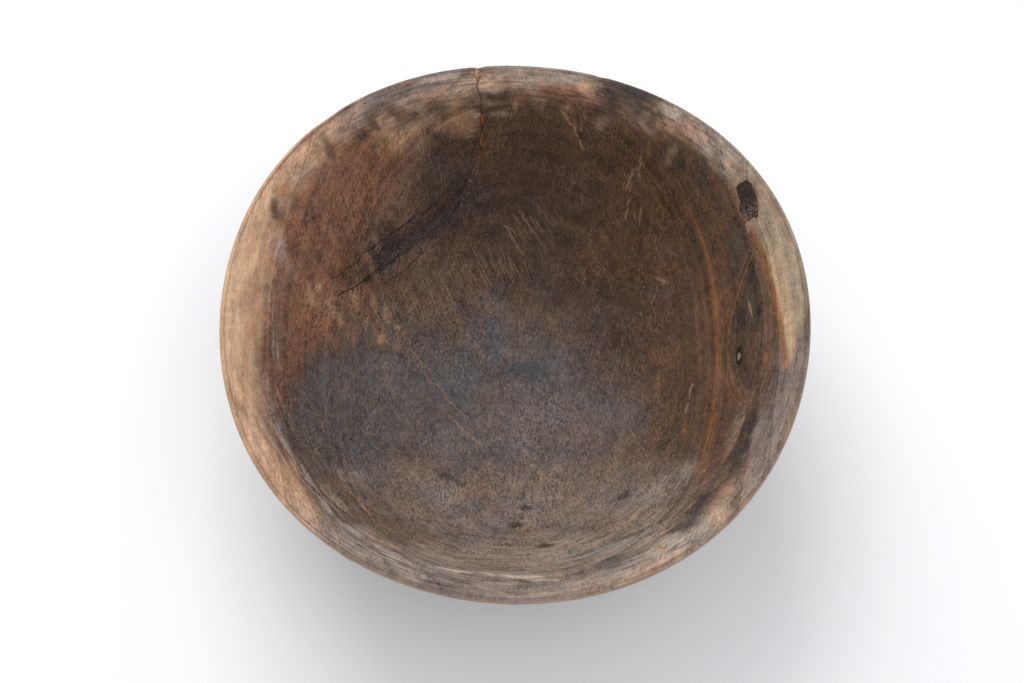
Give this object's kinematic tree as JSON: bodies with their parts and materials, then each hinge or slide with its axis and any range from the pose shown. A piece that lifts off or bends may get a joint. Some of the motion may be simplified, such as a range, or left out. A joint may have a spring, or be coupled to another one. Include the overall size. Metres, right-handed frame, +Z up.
{
  "type": "carved wooden bowl",
  "caption": "Deep round serving bowl carved from half a log, with a sloping lip, flat foot, inset knots and a gum-filled drying crack.",
  "frame": {"origin": "centre of the flat foot", "axes": "+Z up out of the bowl's mouth, +Y along the log's grain towards the cracked side of the lip, +X towards the pale sapwood side with the knots"},
  "size_m": [0.3935, 0.3983, 0.142],
  "materials": {
    "carved_wood": "worn dark heartwood with a pale sapwood edge, dull oiled",
    "knot_wood": "dark encased branch wood, dull",
    "pale_wood": "pale bare splinter wood, matt",
    "knot_bark": "black-brown dead bark, matt",
    "lip_knot_wood": "brown branch wood, dull",
    "crack_gum": "orange-brown dried gum, slightly glossy"
  },
  "bodies": {
    "root": {"bowl_shell": "carved_wood", "dead_knot": "knot_wood", "knot_wedge": "pale_wood", "pin_knot": "pale_wood", "pin_bark": "knot_bark", "heart_sliver": "pale_wood", "rim_knot": "lip_knot_wood", "rim_sliver": "pale_wood", "crack_fill_upper": "crack_gum", "crack_fill_middle": "crack_gum", "crack_fill_lower": "crack_gum"}
  },
  "joints": []
}
